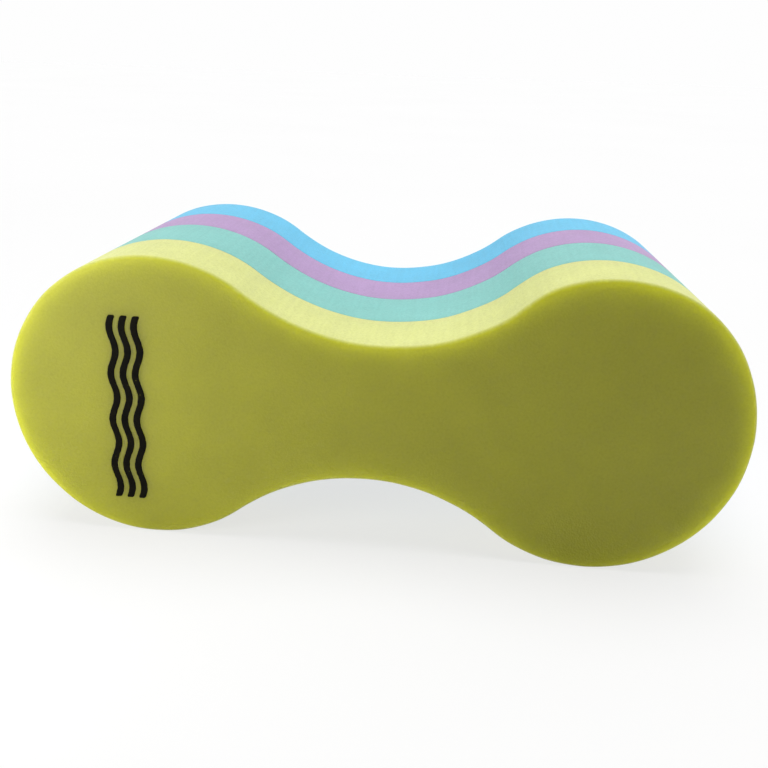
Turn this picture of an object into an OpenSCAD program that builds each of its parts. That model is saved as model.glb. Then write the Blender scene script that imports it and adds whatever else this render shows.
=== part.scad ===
// Pull buoy: a float that a swimmer holds between the thighs. Four foam sheets are glued face to
// face into one block, and the block is cut to a figure of eight: two round lobes and a waist.
// X runs along the length, Y through the sheets from front (-Y) to back (+Y), and Z is up.
// The origin is the centre of the base, so the float stands on its two lobes at Z = 0.

/* [Outline] */
// Length over both lobes, along X
body_length = 234; // [225:1:245]
// Diameter of each round lobe, which is also the height
lobe_diameter = 93.6; // [88:0.4:100]
// Radius of the hollow arc above and below the waist
waist_arc_radius = 66.6; // [60:0.2:80]

/* [Foam sheets] */
// Thickness of the front sheet, and of the back one
outer_thickness = 30; // [20:0.5:36]
// Thickness of the sheet behind the front one
front_core_thickness = 32; // [20:0.5:36]
// Thickness of the sheet before the back one
back_core_thickness = 28; // [20:0.5:36]
// Colour of the front sheet
front_colour = "#c2c545"; // ["#c2c545", "#f2c230", "#e8743b"]
// Colour of the sheet behind the front one
front_core_colour = "#8fd0c4"; // ["#8fd0c4", "#5fa8d3", "#7bc47f"]
// Colour of the sheet before the back one
back_core_colour = "#bf9fce"; // ["#bf9fce", "#e58fb1", "#d8d8d8"]
// Colour of the back sheet
back_colour = "#6fcdf3"; // ["#6fcdf3", "#3f7fd0", "#4c5aa8"]

/* [Glue films] */
// Thickness of the glue film between two sheets
glue_thickness = 0.2; // [0.1:0.05:0.4]
// How far a film stops short of the cut face
glue_setback = 0.2; // [0.1:0.1:1]

/* [Printed mark] */
// Number of wave bands side by side
wave_bands = 3; // [1:1:3]
// Number of full waves in each band
wave_count = 4; // [2:1:6]
// Height of the mark along Z
wave_height = 62; // [40:1:64]
// Width of one band of ink
wave_band_width = 2.3; // [1.2:0.1:2.8]
// Distance between the centre lines of two bands
wave_pitch = 4; // [3:0.1:4.5]
// How far a band swings to either side of its centre line
wave_swing = 0.9; // [0.3:0.1:1.5]
// Distance of the mark's centre from the left lobe's centre, towards the end of the float
mark_outward = 7.6; // [0:0.1:12]
// Distance of the mark's centre below the lobe's centre
mark_drop = 4; // [0:0.1:6]
// Thickness of the ink
ink_thickness = 0.1; // [0.05:0.05:0.2]

/* [Hidden] */

$fn = 96;
lobe_radius = lobe_diameter / 2;
lobe_x = body_length / 2 - lobe_radius;
// The hollow arc runs on from both lobes. It bites a hair into them, so each pair of curves crosses
// at one clear point.
arc_bite = 0.005;
arc_rise = sqrt((lobe_radius + waist_arc_radius - arc_bite) ^ 2 - lobe_x ^ 2);

foam_depth = 2 * outer_thickness + front_core_thickness + back_core_thickness;
body_depth = foam_depth + 3 * glue_thickness;
// The Y where each sheet starts, from front to back
front_y = -body_depth / 2;
front_core_y = front_y + outer_thickness + glue_thickness;
back_core_y = front_core_y + front_core_thickness + glue_thickness;
back_y = back_core_y + back_core_thickness + glue_thickness;
wave_steps = 12;

// The figure of eight: two round lobes and a web, less the hollow arcs. The web is a rhombus between
// the lobe centres and the arc centres, so its sides cross the outline where two curves meet.
module outline(inset) {
    for (side = [-1, 1])
        translate([side * lobe_x, 0]) circle(lobe_radius - inset);
    difference() {
        polygon([[lobe_x, 0], [0, arc_rise], [-lobe_x, 0], [0, -arc_rise]]);
        for (side = [-1, 1])
            translate([0, side * arc_rise]) circle(waist_arc_radius + inset);
    }
}

// A slab of the whole outline, standing on its lobes, with its front face at the given Y
module slab(slab_front_y, thickness, inset = 0) {
    translate([0, slab_front_y + thickness, lobe_radius])
        rotate([90, 0, 0])
            linear_extrude(thickness)
                outline(inset);
}

module foam_sheet_front() {
    color(front_colour) slab(front_y, outer_thickness);
}

module foam_sheet_front_core() {
    color(front_core_colour) slab(front_core_y, front_core_thickness);
}

module foam_sheet_back_core() {
    color(back_core_colour) slab(back_core_y, back_core_thickness);
}

module foam_sheet_back() {
    color(back_colour) slab(back_y, outer_thickness);
}

// The film in front of the sheet that starts at the given Y
module glue_film(sheet_y) {
    color("#e9e4c8") slab(sheet_y - glue_thickness, glue_thickness, glue_setback);
}

module glue_film_front() {
    glue_film(front_core_y);
}

module glue_film_middle() {
    glue_film(back_core_y);
}

module glue_film_back() {
    glue_film(back_y);
}

// Sideways place of a band's edge at a height along the mark
function wave_edge(along, side) =
    wave_swing * sin(360 * wave_count * along / wave_height) + side * wave_band_width / 2;

// One upright band of ink with wavy edges, centred on the origin
module wave_band() {
    steps = wave_count * wave_steps;
    heights = [for (i = [0 : steps]) i * wave_height / steps];
    right_edge = [for (h = heights) [wave_edge(h, 1), h - wave_height / 2]];
    left_edge = [for (i = [steps : -1 : 0])
        [wave_edge(heights[i], -1), heights[i] - wave_height / 2]];
    polygon(concat(right_edge, left_edge));
}

// Parallel water waves printed on the front face of the left lobe
module printed_wave_mark() {
    color("#17150f")
        translate([-lobe_x - mark_outward, front_y, lobe_radius - mark_drop])
            rotate([90, 0, 0])
                linear_extrude(ink_thickness)
                    for (band = [0 : wave_bands - 1])
                        translate([(band - (wave_bands - 1) / 2) * wave_pitch, 0])
                            wave_band();
}

foam_sheet_front();
foam_sheet_front_core();
foam_sheet_back_core();
foam_sheet_back();
glue_film_front();
glue_film_middle();
glue_film_back();
printed_wave_mark();
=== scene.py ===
"""Pull buoy: a figure-of-eight block of four coloured foam sheets, with a printed wave mark.

The foam sheets, the glue films and the ink are built here as fine meshes in the places that the
CAD nodes hold. Everything is in metres: X along the length, Y from front to back, Z up.
"""
import math
import bpy
from mathutils import Matrix, Vector, noise


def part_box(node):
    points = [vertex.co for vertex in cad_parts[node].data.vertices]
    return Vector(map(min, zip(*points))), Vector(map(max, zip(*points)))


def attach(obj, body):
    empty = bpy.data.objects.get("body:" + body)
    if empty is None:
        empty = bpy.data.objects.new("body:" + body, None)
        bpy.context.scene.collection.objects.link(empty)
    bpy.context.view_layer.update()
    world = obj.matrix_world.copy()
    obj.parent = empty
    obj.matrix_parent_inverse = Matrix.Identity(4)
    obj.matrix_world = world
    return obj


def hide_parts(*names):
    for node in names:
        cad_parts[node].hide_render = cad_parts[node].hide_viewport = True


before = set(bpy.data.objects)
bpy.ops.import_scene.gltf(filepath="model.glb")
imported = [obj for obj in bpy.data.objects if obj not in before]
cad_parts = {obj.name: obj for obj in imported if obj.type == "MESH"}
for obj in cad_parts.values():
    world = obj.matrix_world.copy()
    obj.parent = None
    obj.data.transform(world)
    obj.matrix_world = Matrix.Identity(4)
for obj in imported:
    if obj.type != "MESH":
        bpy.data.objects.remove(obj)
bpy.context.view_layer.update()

MM = 0.001
WHITE = (1, 1, 1, 1)

# The outline, from the CAD model's box. The waist arcs' radius is the CAD outline's own.
LOW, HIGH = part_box("foam_sheet_front")
LOBE_R = (HIGH.z - LOW.z) / 2
MID_Z = (HIGH.z + LOW.z) / 2
LOBE_X = (HIGH.x - LOW.x) / 2 - LOBE_R
WAIST_ARC_R = 66.6 * MM
ARC_RISE = math.sqrt((LOBE_R + WAIST_ARC_R) ** 2 - LOBE_X ** 2)
JOINT_ANGLE = math.atan2(ARC_RISE, LOBE_X)
BLOCK_FRONT, BLOCK_BACK = LOW.y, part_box("foam_sheet_back")[1].y

# Mesh fineness
POINT_SPACING = 1.0 * MM
FACE_ROWS = 28
WALL_ROWS = 10
RIM_STEPS = 6

# Two lengths this close count as equal
ROUNDING = 1e-9

# Edges: the outer rims are eased by handling, the edges at a glue line only just
RIM_R = 1.3 * MM
JOINT_EDGE_R = 0.15 * MM

# How unevenly the block was cut: a ripple that runs along the cut, and a slow wander
CUT_RIPPLE = 0.10 * MM
CUT_RIPPLE_LENGTH = 9 * MM
CUT_WANDER = 0.22 * MM
CUT_WANDER_LENGTH = 45 * MM
# Where each of the two is cut through the noise, so that they don't repeat each other
WANDER_PLANE, RIPPLE_PLANE = 0.31, 7.7
# The blade leaned in a few places, so the wall stands out (or in) by one amount at the front face
# and by another at the back: X, height above the middle, reach, rise at the front, rise at the back
LEAN_SPOTS = [(97 * MM, 36 * MM, 26 * MM, 1.6 * MM, -0.3 * MM),
              (112 * MM, 24 * MM, 17 * MM, 0.0 * MM, -1.0 * MM),
              (-28 * MM, 30 * MM, 26 * MM, 0.8 * MM, -0.2 * MM),
              (32 * MM, 31 * MM, 24 * MM, -1.8 * MM, 0.4 * MM),
              (44 * MM, 34 * MM, 9 * MM, -1.3 * MM, 0.3 * MM),
              (-66 * MM, 46 * MM, 34 * MM, -0.4 * MM, -1.2 * MM)]

# A shallow wave in the two outer faces. It fades out near the outline, over FADE_DOWN of a column at
# its top and bottom, and over FADE_ALONG of the columns at each end of the float.
FACE_WAVE = 0.10 * MM
FACE_WAVE_LENGTH = 38 * MM
FADE_DOWN = 1 / 4
FADE_ALONG = 1 / 8


def waist_and_lobe_points():
    """The upper half of the outline from the right tip to the left tip: X and half height."""
    lobe_turn = math.pi - JOINT_ANGLE
    arc_turn = math.pi - 2 * JOINT_ANGLE
    lobe_steps = round(LOBE_R * lobe_turn / POINT_SPACING)
    arc_steps = round(WAIST_ARC_R * arc_turn / POINT_SPACING)
    points = []
    for i in range(lobe_steps):
        angle = lobe_turn * i / lobe_steps
        points.append((LOBE_X + LOBE_R * math.cos(angle), LOBE_R * math.sin(angle)))
    for i in range(arc_steps + 1):
        angle = -JOINT_ANGLE - arc_turn * i / arc_steps
        points.append((WAIST_ARC_R * math.cos(angle), ARC_RISE + WAIST_ARC_R * math.sin(angle)))
    return points + [(-x, z) for x, z in reversed(points[:lobe_steps])]


def outline_normal(x, half_height):
    """Outward direction of the outline's upper half at a point on it."""
    joint_x = LOBE_X - LOBE_R * math.cos(JOINT_ANGLE)
    if abs(x) >= joint_x - ROUNDING:
        centre = math.copysign(LOBE_X, x)
        return (x - centre) / LOBE_R, half_height / LOBE_R
    return -x / WAIST_ARC_R, (ARC_RISE - half_height) / WAIST_ARC_R


def cut_offset(x, z):
    """How far the cut wall stands out from the true outline, the same through the whole depth."""
    wander = noise.noise(Vector((x, WANDER_PLANE, z)) / CUT_WANDER_LENGTH)
    ripple = noise.noise(Vector((x, RIPPLE_PLANE, z)) / CUT_RIPPLE_LENGTH)
    return CUT_WANDER * wander + CUT_RIPPLE * ripple


def blade_lean(x, z):
    """How far the wall stands out where the blade leaned, at the front face and at the back."""
    front, back = 0.0, 0.0
    for spot_x, spot_z, reach, front_rise, back_rise in LEAN_SPOTS:
        share = math.exp(-((x - spot_x) ** 2 + (z - spot_z) ** 2) / reach ** 2)
        front += front_rise * share
        back += back_rise * share
    return front, back


HALF_OUTLINE = waist_and_lobe_points()
COLUMNS = len(HALF_OUTLINE)
# Once round: along the top from right to left, then back along the bottom
RING = [(x, h, *outline_normal(x, h)) for x, h in HALF_OUTLINE]
RING += [(x, -h, nx, -nz) for x, h, nx, nz in reversed(RING[1:-1])]
RING_OFFSET = [(cut_offset(x, z), *blade_lean(x, z)) for x, z, _, _ in RING]


def smooth(t):
    """Eases 0 to 1 in and out, and holds what lies past either end."""
    t = min(1.0, max(0.0, t))
    return t * t * (3 - 2 * t)


# How far round an edge a row lies: 0 on the face, 1 where the wall starts, and this on the wall
ON_WALL = 2.0
MID_EDGE = 0.5
# How steeply the wall's look comes in round an edge, and how late, and how steeply the wear dies away
CUT_STEEPNESS, CUT_DELAY = 1.2, 0.1
WEAR_STEEPNESS = 1.6


def cut_share(turned):
    """0 on a face and 1 on the wall, with a soft change round the edge."""
    return smooth(turned * CUT_STEEPNESS - CUT_DELAY)


def rim_share(turned):
    """1 in the middle of a rounded edge, less towards the face and the wall."""
    return smooth(1 - abs(turned - MID_EDGE) * WEAR_STEEPNESS)


def edge_steps(y, radius, inward):
    """Rows round one edge of a slab, from its face to its wall: each is (inset from the outline, Y,
    how far round the edge it is). inward is +1 where the slab lies behind Y and -1 where it lies in
    front of it."""
    rows = []
    for i in range(RIM_STEPS + 1):
        turned = i / RIM_STEPS
        angle = math.pi / 2 * turned
        inset = radius * (1 - math.sin(angle))
        rows.append((inset, y + inward * radius * (1 - math.cos(angle)), turned))
    return rows


def slab_rows(front_y, back_y, front_edge, back_edge, wall_rows):
    """Rows from the front face round its edge, over the wall and round to the back face."""
    wall_front, wall_back = front_y + front_edge, back_y - back_edge
    rows = edge_steps(front_y, front_edge, 1)
    for i in range(1, wall_rows):
        rows.append((0.0, wall_front + (wall_back - wall_front) * i / wall_rows, ON_WALL))
    return rows + list(reversed(edge_steps(back_y, back_edge, -1)))


def ring_vertices(y, inset):
    """Vertices once round the outline at a Y, with the cut's unevenness."""
    depth = (y - BLOCK_FRONT) / (BLOCK_BACK - BLOCK_FRONT)
    vertices = []
    for (x, z, nx, nz), (offset, front_lean, back_lean) in zip(RING, RING_OFFSET):
        out = offset + front_lean + (back_lean - front_lean) * depth - inset
        vertices.append((x + nx * out, y, MID_Z + z + nz * out))
    return vertices


def add_wall(faces, row_count):
    """Joins each ring of vertices to the next."""
    count = len(RING)
    for row in range(row_count - 1):
        near, far = row * count, (row + 1) * count
        for i in range(count):
            j = (i + 1) % count
            faces.append((near + i, far + i, far + j, near + j))


def add_cap(vertices, faces, first, y, is_back, wave):
    """Fills the ring that starts at vertex first with columns from the top edge to the bottom one."""
    columns = []
    for c in range(1, COLUMNS - 1):
        top, bottom = first + c, first + len(RING) - c
        x, _, z_top = vertices[top]
        x_bottom, _, z_bottom = vertices[bottom]
        fade_along = min(1.0, min(c, COLUMNS - c) / COLUMNS / FADE_ALONG)
        column = [top]
        for r in range(1, FACE_ROWS):
            t = r / FACE_ROWS
            px, pz = x + (x_bottom - x) * t, z_top + (z_bottom - z_top) * t
            fade = min(1.0, min(t, 1 - t) / FADE_DOWN) * fade_along
            shallow = wave * noise.noise(Vector((px, y, pz)) / FACE_WAVE_LENGTH)
            vertices.append((px, y + shallow * fade, pz))
            column.append(len(vertices) - 1)
        columns.append(column + [bottom])
    right_tip, left_tip = first, first + COLUMNS - 1

    def put(*loop):
        faces.append(tuple(reversed(loop)) if is_back else loop)

    for r in range(FACE_ROWS):
        put(right_tip, columns[0][r], columns[0][r + 1])
        put(left_tip, columns[-1][r + 1], columns[-1][r])
        for a, b in zip(columns, columns[1:]):
            put(a[r + 1], a[r], b[r], b[r + 1])


def smooth_mesh(name, vertices, faces):
    """A smooth-shaded mesh."""
    mesh = bpy.data.meshes.new(name)
    mesh.from_pydata(vertices, [], faces)
    mesh.polygons.foreach_set("use_smooth", [True] * len(faces))
    return mesh


def slab_mesh(name, front_y, back_y, front_edge, back_edge, inset=0.0, wall_rows=WALL_ROWS,
              wave=0.0):
    """A closed slab of the outline between two Ys, with rounded edges. The faces are a grid of
    columns across the outline. The attribute "cut" is 0 on the faces and 1 on the wall, and "rim" is
    1 along the rounded edges."""
    rows = slab_rows(front_y, back_y, front_edge, back_edge, wall_rows)
    vertices, faces, cut, rim = [], [], [], []
    for row_inset, y, turned in rows:
        vertices += ring_vertices(y, inset + row_inset)
        cut += [cut_share(turned)] * len(RING)
        rim += [rim_share(turned)] * len(RING)
    back_ring = (len(rows) - 1) * len(RING)
    add_wall(faces, len(rows))
    add_cap(vertices, faces, 0, front_y, False, wave)
    add_cap(vertices, faces, back_ring, back_y, True, wave)
    mesh = smooth_mesh(name, vertices, faces)
    for attribute, values in (("cut", cut), ("rim", rim)):
        values += [0.0] * (len(vertices) - len(values))
        mesh.attributes.new(attribute, "FLOAT", "POINT").data.foreach_set("value", values)
    mesh.update()
    return mesh


def add_piece(name, mesh, material):
    """Links a mesh as a piece and gives it its material."""
    piece = bpy.data.objects.new(name, mesh)
    bpy.context.scene.collection.objects.link(piece)
    mesh.materials.append(material)
    return piece


# --- Materials ---------------------------------------------------------------------------------


class Tree:
    """A short way to write a material's nodes."""

    def __init__(self, name):
        self.material = bpy.data.materials.new(name)
        self.material.use_nodes = True
        self.nodes = self.material.node_tree.nodes
        self.links = self.material.node_tree.links
        self.shader = self.nodes["Principled BSDF"]
        self.place = self.nodes.new("ShaderNodeTexCoord").outputs["Object"]

    def add(self, kind, inputs=None, **settings):
        node = self.nodes.new(kind)
        for key, value in settings.items():
            setattr(node, key, value)
        for key, value in (inputs or {}).items():
            self.feed(node.inputs[key], value)
        return node

    def feed(self, socket, value):
        """Links another node's output to a socket, or sets the socket to a plain value."""
        if isinstance(value, bpy.types.NodeSocket):
            self.links.new(value, socket)
        else:
            socket.default_value = value

    def noise(self, size, detail=2.0, stretch=(1, 1, 1)):
        """Noise whose features are about size metres across, stretched along each axis."""
        shrink = [1 / s for s in stretch]
        place = self.add("ShaderNodeMapping", {"Vector": self.place, "Scale": shrink}).outputs[0]
        inputs = {"Vector": place, "Scale": 1 / size, "Detail": detail}
        return self.add("ShaderNodeTexNoise", inputs).outputs["Fac"]

    def cells(self, size):
        """Rounded cells about size metres across: 0 in the middle of one, more at its wall."""
        inputs = {"Vector": self.place, "Scale": 1 / size}
        return self.add("ShaderNodeTexVoronoi", inputs, feature="F1").outputs["Distance"]

    def to_range(self, value, low, high, start=0.0, end=1.0):
        """Maps low..high of a value to start..end."""
        inputs = {"Value": value, "From Min": low, "From Max": high, "To Min": start, "To Max": end}
        return self.add("ShaderNodeMapRange", inputs).outputs[0]

    def mix(self, factor, a, b):
        """Mixes two colours."""
        return self.add("ShaderNodeMix", {0: factor, 6: a, 7: b}, data_type="RGBA").outputs[2]

    def attribute(self, name):
        """A number that the mesh holds at each of its points."""
        return self.add("ShaderNodeAttribute", attribute_name=name).outputs["Fac"]

    def maths(self, operation, a, b):
        return self.add("ShaderNodeMath", {0: a, 1: b}, operation=operation).outputs[0]

    def times(self, a, b):
        return self.maths("MULTIPLY", a, b)

    def plus(self, a, b):
        return self.maths("ADD", a, b)

    def one_minus(self, a):
        return self.maths("SUBTRACT", 1.0, a)

    def multiply(self, colour, factor):
        """A colour made darker or lighter by a number."""
        inputs = {0: colour, "Scale": factor}
        return self.add("ShaderNodeVectorMath", inputs, operation="SCALE").outputs[0]

    def bump(self, height, distance, strength=1.0, under=None):
        """A surface normal raised by height, on top of the bumps under it."""
        inputs = {"Height": height, "Distance": distance, "Strength": strength}
        if under is not None:
            inputs["Normal"] = under
        return self.add("ShaderNodeBump", inputs).outputs[0]

    def connect(self, socket, value):
        """Links a value to one of the shader's sockets."""
        self.links.new(value, self.shader.inputs[socket])

    def set(self, **values):
        """Sets the shader's own sockets to plain values. Each key is a socket's name with _ for a
        space."""
        for key, value in values.items():
            self.shader.inputs[key.replace("_", " ")].default_value = value


def linear(red, green, blue):
    """A display colour, 0 to 255 a channel, as the linear colour that shaders take."""
    def one(channel):
        c = channel / 255
        return c / 12.92 if c <= 0.04045 else ((c + 0.055) / 1.055) ** 2.4
    return (one(red), one(green), one(blue), 1.0)


def shade(colour, factor):
    """A plain colour made darker or lighter."""
    return tuple(c * factor for c in colour[:3]) + (1.0,)


# The part of a texture's own range that counts: below it is all low, and above it is all high
NOISE_SPREAD = (0.3, 0.7)
NARROW_SPREAD = (0.35, 0.65)
GRAIN_SPREAD = (0.35, 0.7)
PIT_SPREAD = (0.45, 0.85)
SCUFF_SPREAD = (0.55, 0.75)

# Foam: how wide its features are
STREAK_SIZE, STREAK_STRETCH = 1.6 * MM, (1, 40, 1)
BLOTCH_SIZE = 14 * MM
GRAIN_SIZE = 0.9 * MM
CELL_SIZE = 0.65 * MM
SCUFF_SIZE = 2.5 * MM
# Foam: how much they darken or lighten it, as factors, and how worn the rims are at most
STREAK_TONES = (0.975, 1.02)
BLOTCH_TONES = (0.96, 1.03)
GRAIN_TONES = (1.0, 0.94)
# Painted shade between the cells, deeper on the cut wall where the cells are open
FACE_PIT_SHADE, WALL_PIT_SHADE = 0.05, 0.09
MOST_WORN, WORN_TONE = 0.35, 1.08
# Foam: the depth and strength of its relief, and how much of the cells' relief the closed faces keep
BLOTCH_BUMP = (0.25 * MM, 0.5)
STREAK_BUMP = (0.10 * MM, 0.6)
CELL_BUMP = (0.11 * MM, 0.7)
FACE_CELL_RELIEF = 0.55
# Foam: gloss, and how light travels inside it. Each sheet's own reach multiplies the depth.
ROUGHNESS = (0.50, 0.62)
WALL_EXTRA_ROUGHNESS = 0.08
SCATTER_DEPTH = 28 * MM
WALL_SCATTER = 0.15


def foam_tone(tree, cut, blotches, streaks, face_colour, cut_colour):
    """The sheet's face colour, or its paler cut wall with blade streaks, both mottled. For the lime
    sheet these carry painted shade on the face and painted light on the wall.
    """
    dark_streak, pale_streak = (shade(cut_colour, tone) for tone in STREAK_TONES)
    wall = tree.mix(tree.to_range(streaks, *NARROW_SPREAD), dark_streak, pale_streak)
    mottling = tree.to_range(blotches, *NOISE_SPREAD, *BLOTCH_TONES)
    return tree.multiply(tree.mix(cut, face_colour, wall), mottling)


def foam_wear(tree, cut, grain, cells, tone, cut_colour):
    """The foam's tone, grained, darkened between the cells with painted shade and worn paler along
    the rims.
    """
    grained = tree.multiply(tone, tree.to_range(grain, *GRAIN_SPREAD, *GRAIN_TONES))
    # Painted shade between the cells, deeper on the cut wall
    pit_shade_depth = tree.to_range(cut, 0.0, 1.0, FACE_PIT_SHADE, WALL_PIT_SHADE)
    pit_shade = tree.times(pit_shade_depth, tree.to_range(cells, *PIT_SPREAD))
    pit_shaded = tree.multiply(grained, tree.one_minus(pit_shade))
    scuffs = tree.to_range(tree.noise(SCUFF_SIZE, detail=4.0), *SCUFF_SPREAD, 0.0, MOST_WORN)
    worn = tree.times(tree.attribute("rim"), scuffs)
    return tree.mix(worn, pit_shaded, shade(cut_colour, WORN_TONE))


def foam_relief(tree, cut, blotches, streaks, cells):
    """Slow unevenness, blade streaks on the cut wall, and cells that stand out most there."""
    normal = tree.bump(blotches, *BLOTCH_BUMP)
    normal = tree.bump(tree.times(streaks, cut), *STREAK_BUMP, normal)
    cell_relief = tree.times(cells, tree.to_range(cut, 0.0, 1.0, FACE_CELL_RELIEF, 1.0))
    return tree.bump(cell_relief, *CELL_BUMP, normal)


def foam_material(name, face_colour, cut_colour, reach):
    """Closed-cell foam. The cut wall is paler and shows opened cells and faint blade streaks that
    run through the depth of the block. The faces keep the sheet's finer, closed skin; for the lime
    sheet the darker face and paler wall are partly painted shade and painted light. reach is how
    far red, green and blue light travel inside it."""
    tree = Tree(name)
    cut = tree.attribute("cut")
    blotches = tree.noise(BLOTCH_SIZE, detail=3.0)
    grain = tree.noise(GRAIN_SIZE, detail=3.0)
    streaks = tree.noise(STREAK_SIZE, stretch=STREAK_STRETCH)
    cells = tree.cells(CELL_SIZE)
    tone = foam_tone(tree, cut, blotches, streaks, face_colour, cut_colour)
    rough = tree.to_range(grain, *NOISE_SPREAD, *ROUGHNESS)
    tree.connect("Base Color", foam_wear(tree, cut, grain, cells, tone, cut_colour))
    tree.connect("Normal", foam_relief(tree, cut, blotches, streaks, cells))
    tree.connect("Roughness", tree.plus(rough, tree.times(cut, WALL_EXTRA_ROUGHNESS)))
    tree.connect("Subsurface Weight", tree.to_range(cut, 0.0, 1.0, 1.0, WALL_SCATTER))
    tree.set(Subsurface_Radius=reach, Subsurface_Scale=SCATTER_DEPTH, IOR=1.48,
             Specular_IOR_Level=0.5, Sheen_Weight=0.08, Sheen_Roughness=0.5)
    return tree.material


GLUE_PATCH_SIZE = 3 * MM
GLUE_DEPTH = 0.05 * MM
GLUE_ROUGHNESS = (0.35, 0.55)


def glue_material():
    """Dried contact adhesive: pale, a little uneven and smoother than the foam."""
    tree = Tree("dried_glue")
    patches = tree.noise(GLUE_PATCH_SIZE, detail=3.0)
    tree.connect("Base Color", tree.mix(patches, linear(236, 233, 214), linear(214, 208, 178)))
    tree.connect("Roughness", tree.to_range(patches, *NOISE_SPREAD, *GLUE_ROUGHNESS))
    tree.connect("Normal", tree.bump(patches, GLUE_DEPTH))
    tree.set(Subsurface_Weight=0.3, Subsurface_Scale=1 * MM)
    return tree.material


INK_CELL_SIZE = 0.55 * MM
INK_BUMP = (0.07 * MM, 0.7)
INK_ROUGHNESS = (0.42, 0.60)
THIN_INK_SIZE = 1.3 * MM
PINHOLE_SPREAD = (0.73, 0.79)
PINHOLE_TONE = 0.55


def ink_material(foam):
    """Flexible black ink that follows the foam's cells, with a few pinholes where foam of the given
    colour shows through."""
    tree = Tree("black_ink")
    thin = tree.noise(THIN_INK_SIZE, detail=4.0)
    tone = tree.mix(tree.to_range(thin, *NARROW_SPREAD), linear(8, 7, 3), linear(18, 16, 7))
    pinholes = tree.to_range(thin, *PINHOLE_SPREAD)
    tree.connect("Base Color", tree.mix(pinholes, tone, shade(foam, PINHOLE_TONE)))
    tree.connect("Roughness", tree.to_range(thin, *NOISE_SPREAD, *INK_ROUGHNESS))
    tree.connect("Normal", tree.bump(tree.cells(INK_CELL_SIZE), *INK_BUMP))
    tree.set(Specular_IOR_Level=0.05)
    return tree.material


# --- Foam sheets and glue films ----------------------------------------------------------------

# The lime foam's face colour, partly darkened with painted shade
SHADED_LIME = linear(169, 168, 38)
# For each sheet: its slot, the colour of its faces and of its paler cut wall, and how far red, green
# and blue light travel inside it compared with SCATTER_DEPTH. The lime sheet's darker face and paler
# wall are partly skin and cut, and partly painted shade on the face and painted light on the wall.
FOAMS = {
    "foam_sheet_front": (
        "lime_foam", SHADED_LIME, linear(206, 210, 124), (0.85, 0.9, 0.15)),
    "foam_sheet_front_core": (
        "teal_foam", linear(104, 177, 168), linear(115, 187, 180), (0.12, 0.35, 0.3)),
    "foam_sheet_back_core": (
        "mauve_foam", linear(153, 122, 168), linear(167, 134, 182), (0.3, 0.15, 0.35)),
    "foam_sheet_back": (
        "sky_foam", linear(70, 176, 217), linear(79, 183, 222), (0.1, 0.3, 0.4)),
}


def make_foam_sheets():
    """The four foam sheets. The two outer ones have an eased rim on the outside and a wavy face."""
    for node, (slot, face_colour, cut_colour, reach) in FOAMS.items():
        low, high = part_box(node)
        is_front, is_back = node == "foam_sheet_front", node == "foam_sheet_back"
        front_edge = RIM_R if is_front else JOINT_EDGE_R
        back_edge = RIM_R if is_back else JOINT_EDGE_R
        wave = FACE_WAVE if is_front or is_back else 0.0
        mesh = slab_mesh(node + "_foam", low.y, high.y, front_edge, back_edge, wave=wave)
        material = foam_material(slot, face_colour, cut_colour, reach)
        piece = add_piece(node + "_foam", mesh, material)
        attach(piece, "root")
        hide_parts(node)


GLUE_SETBACK = 0.2 * MM
GLUE_EDGE_R = 0.05 * MM
GLUE_WALL_ROWS = 2


def make_glue_films():
    """The three glue films, set back a little from the cut wall."""
    material = glue_material()
    for node in ("glue_film_front", "glue_film_middle", "glue_film_back"):
        low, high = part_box(node)
        mesh = slab_mesh(node + "_line", low.y, high.y, GLUE_EDGE_R, GLUE_EDGE_R,
                         GLUE_SETBACK, GLUE_WALL_ROWS)
        piece = add_piece(node + "_line", mesh, material)
        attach(piece, "root")
        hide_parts(node)


# --- Printed mark ------------------------------------------------------------------------------

WAVE_BANDS = 3
WAVE_COUNT = 4
BAND_WIDTH = 2.3 * MM
WAVE_PITCH = 4.0 * MM
WAVE_SWING = 0.9 * MM
BAND_STEPS = 260
BAND_COLUMNS = 10
EDGE_BLEED = 0.10 * MM
EDGE_BLEED_LENGTH = 1.1 * MM
# How far apart the bands lie in the noise, so that no two bleed alike
BLEED_STEP = 3.0
# The ink is thinner at its edges, and reaches its full thickness a shoulder's width in
INK_SHOULDER = 0.35 * MM
EDGE_THICKNESS = 0.35
# Each end of a band is rounded over this length, and is narrower there by this share
END_LENGTH = BAND_WIDTH / 4
END_NARROWING = 0.35


def band_sides(band, middle, z, end):
    """The left and right X of a band at a height, where end is how far its nearer end is."""
    corner = max(0.0, 1 - end / END_LENGTH) ** 2
    half_width = BAND_WIDTH / 2 * (1 - END_NARROWING * corner)
    sides = []
    for side in (-1, 1):
        bleed = noise.noise(Vector((side + BLEED_STEP * band, 0, z / EDGE_BLEED_LENGTH)))
        sides.append(middle + side * (half_width + EDGE_BLEED * bleed))
    return sides


def band_front(band, centre_x, low, high):
    """The front vertices of one band, in rows from its bottom end to its top one."""
    shift = centre_x + (band - (WAVE_BANDS - 1) / 2) * WAVE_PITCH
    height = high.z - low.z
    vertices = []
    for i in range(BAND_STEPS + 1):
        t = i / BAND_STEPS
        z = low.z + height * t
        end = min(t, 1 - t) * height
        middle = shift + WAVE_SWING * math.sin(2 * math.pi * WAVE_COUNT * t)
        left, right = band_sides(band, middle, z, end)
        for c in range(BAND_COLUMNS + 1):
            x = left + (right - left) * c / BAND_COLUMNS
            shoulder = min(1.0, min(x - left, right - x, end) / INK_SHOULDER)
            lift = EDGE_THICKNESS + (1 - EDGE_THICKNESS) * shoulder
            vertices.append((x, high.y + (low.y - high.y) * lift, z))
    return vertices


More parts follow.
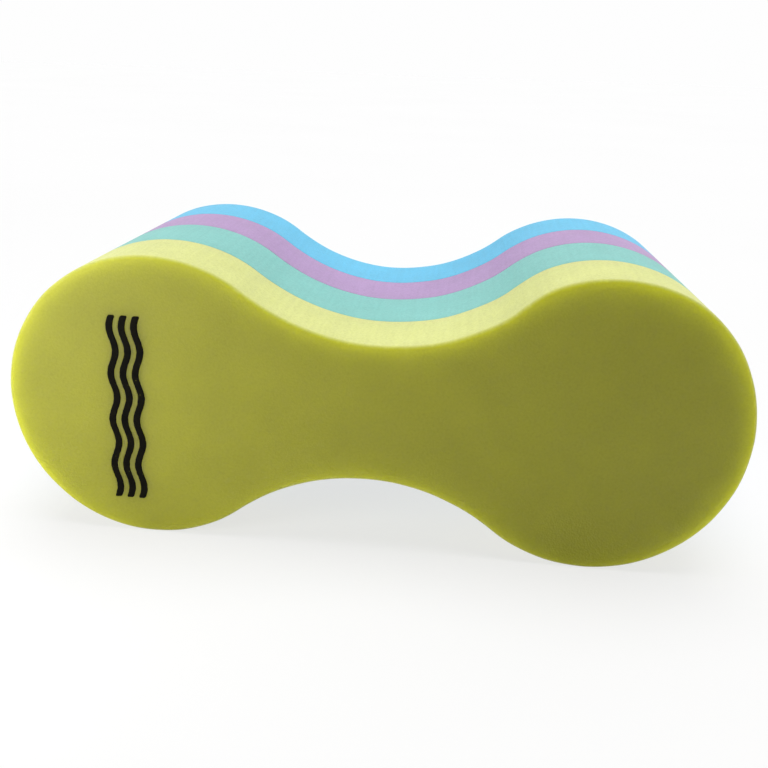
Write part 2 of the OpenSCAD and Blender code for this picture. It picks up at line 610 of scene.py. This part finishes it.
def band_faces(first, rear_step):
    """The faces of one band whose front vertices start at first. Each rear vertex comes rear_step
    after the front one that it lies behind."""
    width = BAND_COLUMNS + 1
    faces = []
    for i in range(BAND_STEPS):
        row = first + i * width
        for a in range(row, row + BAND_COLUMNS):
            b = a + rear_step
            faces.append((a, a + 1, a + width + 1, a + width))
            faces.append((b + width, b + width + 1, b + 1, b))
        a, b = row, row + rear_step
        faces.append((a, a + width, b + width, b))
        a, b = a + BAND_COLUMNS, b + BAND_COLUMNS
        faces.append((b, b + width, a + width, a))
    top_row = first + BAND_STEPS * width
    for c in range(BAND_COLUMNS):
        a, b = first + c, first + c + rear_step
        faces.append((a, b, b + 1, a + 1))
        a, b = top_row + c, top_row + c + rear_step
        faces.append((a + 1, b + 1, b, a))
    return faces


def band_mesh(name, centre_x, low, high):
    """Upright bands of ink with wavy centre lines, rounded ends and edges that bleed a little. Each
    is thin at its edges and full in the middle, and its back lies on the foam."""
    vertices, faces = [], []
    for band in range(WAVE_BANDS):
        front = band_front(band, centre_x, low, high)
        faces += band_faces(len(vertices), len(front))
        vertices += front + [(x, high.y, z) for x, _, z in front]
    mesh = smooth_mesh(name, vertices, faces)
    mesh.update()
    return mesh


def make_printed_mark():
    """The printed wave mark on the front face."""
    low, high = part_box("printed_wave_mark")
    mesh = band_mesh("printed_wave_bands", (low.x + high.x) / 2, low, high)
    piece = add_piece("printed_wave_bands", mesh, ink_material(SHADED_LIME))
    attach(piece, "root")
    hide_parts("printed_wave_mark")


# --- Stage, light and camera -------------------------------------------------------------------

FLOOR_SIZE = 16.0
FLOOR_MOTTLE_LENGTH = 0.4
# How much light the floor throws back and how much it gives, first as seen and then as it lights the
# float. The floor is seen paler and more even than it lights, which keeps its shadows pale.
FLOOR_SEEN_GREY, FLOOR_SEEN_GLOW = 0.22, 0.71
FLOOR_GREY, FLOOR_GLOW = 0.60, 0.20
FLOOR_MOTTLE = 0.01


def make_floor():
    """A plain pale floor at the height that the lobes rest on, which glows faintly as a light table
    does."""
    half = FLOOR_SIZE / 2
    corners = [(-half, -half, 0), (half, -half, 0), (half, half, 0), (-half, half, 0)]
    mesh = bpy.data.meshes.new("studio_floor")
    mesh.from_pydata(corners, [], [(0, 1, 2, 3)])
    tree = Tree("studio_floor")
    seen = tree.add("ShaderNodeLightPath").outputs["Is Camera Ray"]
    grey = tree.to_range(seen, 0.0, 1.0, FLOOR_GREY, FLOOR_SEEN_GREY)
    mottle = tree.noise(FLOOR_MOTTLE_LENGTH)
    mottle = tree.to_range(mottle, 0.0, 1.0, -FLOOR_MOTTLE, FLOOR_MOTTLE)
    glow = tree.to_range(seen, 0.0, 1.0, FLOOR_GLOW, FLOOR_SEEN_GLOW)
    tree.connect("Base Color", tree.multiply(WHITE[:3], tree.plus(grey, mottle)))
    tree.connect("Emission Strength", glow)
    tree.set(Emission_Color=WHITE, Roughness=1.0, Specular_IOR_Level=0.0)
    floor = add_piece("studio_floor", mesh, tree.material)


# The sky is brightest towards one direction, and darker the farther it is from there. SKY_FADE holds
# the cosines of the angles where it is darkest and brightest.
SKY_TOWARDS = Vector((0.24, 0.87, 0.43))
SKY_DARK, SKY_BRIGHT = 0.03, 1.28
SKY_FADE = (0.1, 0.95)
SKY_SEEN = 0.99


def sky_strength(nodes, links):
    """The sky's brightness in each direction."""
    place = nodes.new("ShaderNodeTexCoord")
    facing = nodes.new("ShaderNodeVectorMath")
    facing.operation = "DOT_PRODUCT"
    facing.inputs[1].default_value = SKY_TOWARDS
    ramp = nodes.new("ShaderNodeMapRange")
    ramp.interpolation_type = "SMOOTHSTEP"
    sockets = ("From Min", "From Max", "To Min", "To Max")
    for socket, value in zip(sockets, (*SKY_FADE, SKY_DARK, SKY_BRIGHT)):
        ramp.inputs[socket].default_value = value
    links.new(place.outputs["Generated"], facing.inputs[0])
    links.new(facing.outputs["Value"], ramp.inputs["Value"])
    return ramp.outputs[0]


def make_world():
    """Soft light, dark on the side that the printed face looks to, and bright above and behind. Seen
    directly, the backdrop is plain and pale."""
    world = bpy.data.worlds.new("studio")
    bpy.context.scene.world = world
    world.use_nodes = True
    nodes, links = world.node_tree.nodes, world.node_tree.links
    light = nodes["Background"]
    light.inputs["Color"].default_value = WHITE
    links.new(sky_strength(nodes, links), light.inputs["Strength"])
    seen = nodes.new("ShaderNodeBackground")
    seen.inputs["Strength"].default_value = SKY_SEEN
    seen.inputs["Color"].default_value = WHITE
    choose = nodes.new("ShaderNodeMixShader")
    ray = nodes.new("ShaderNodeLightPath")
    links.new(ray.outputs["Is Camera Ray"], choose.inputs[0])
    links.new(light.outputs[0], choose.inputs[1])
    links.new(seen.outputs[0], choose.inputs[2])
    links.new(choose.outputs[0], nodes["World Output"].inputs["Surface"])


def aim(lamp, towards):
    """Turns a lamp to shine from the given direction, and puts it in the scene."""
    lamp.rotation_euler = towards.to_track_quat("Z", "Y").to_euler()
    bpy.context.scene.collection.objects.link(lamp)


def add_sun(name, strength, softness, azimuth, height):
    """A soft far light. azimuth 0 shines from behind the object (+Y) and 90 from its left (-X)."""
    data = bpy.data.lights.new(name, "SUN")
    data.energy = strength
    data.angle = math.radians(softness)
    around, up = math.radians(azimuth), math.radians(height)
    flat = math.cos(up)
    towards = Vector((-math.sin(around) * flat, math.cos(around) * flat, math.sin(up)))
    aim(bpy.data.objects.new(name, data), towards)


def add_spot(name, power, radius, cone, place, target):
    """A soft round light that fades out towards the edge of its cone, turned to a point."""
    data = bpy.data.lights.new(name, "SPOT")
    data.energy = power
    data.shadow_soft_size = radius
    data.spot_size = math.radians(cone)
    data.spot_blend = 1.0
    lamp = bpy.data.objects.new(name, data)
    lamp.location = place
    lamp.visible_camera = False
    aim(lamp, Vector(place) - Vector(target))


def make_lights():
    """A broad light from above and a small one from the left of the printed face."""
    add_sun("overhead_softbox", strength=2.5, softness=50, azimuth=0, height=84)
    add_spot("left_spot", power=2.08, radius=0.06, cone=80,
             place=(-0.24, -0.26, 0.11), target=(-0.12, -0.06, 0.045))


CAMERA_PLACE = Vector((0.0253, -0.3538, 0.1538))
CAMERA_YAW, CAMERA_PITCH, CAMERA_ROLL = 6.43, -18.27, -1.90
CAMERA_LENS, SENSOR_WIDTH = 46.98, 36
CAMERA_SHIFT_X = 0.052


def make_camera():
    """A camera in front of the printed face, a little above the float."""
    data = bpy.data.cameras.new("camera")
    data.lens = CAMERA_LENS
    data.sensor_width = SENSOR_WIDTH
    data.shift_x = CAMERA_SHIFT_X
    data.clip_start = 10 * MM
    camera = bpy.data.objects.new("camera", data)
    bpy.context.scene.collection.objects.link(camera)
    turn = (Matrix.Rotation(math.radians(CAMERA_YAW), 4, "Z")
            @ Matrix.Rotation(math.radians(CAMERA_PITCH), 4, "X")
            @ Matrix.Rotation(math.radians(CAMERA_ROLL), 4, "Y")
            @ Matrix.Rotation(math.radians(90), 4, "X"))
    camera.matrix_world = Matrix.Translation(CAMERA_PLACE) @ turn
    bpy.context.scene.camera = camera


make_foam_sheets()
make_glue_films()
make_printed_mark()
make_floor()
make_world()
make_lights()
make_camera()
bpy.context.scene.view_settings.view_transform = "Standard"
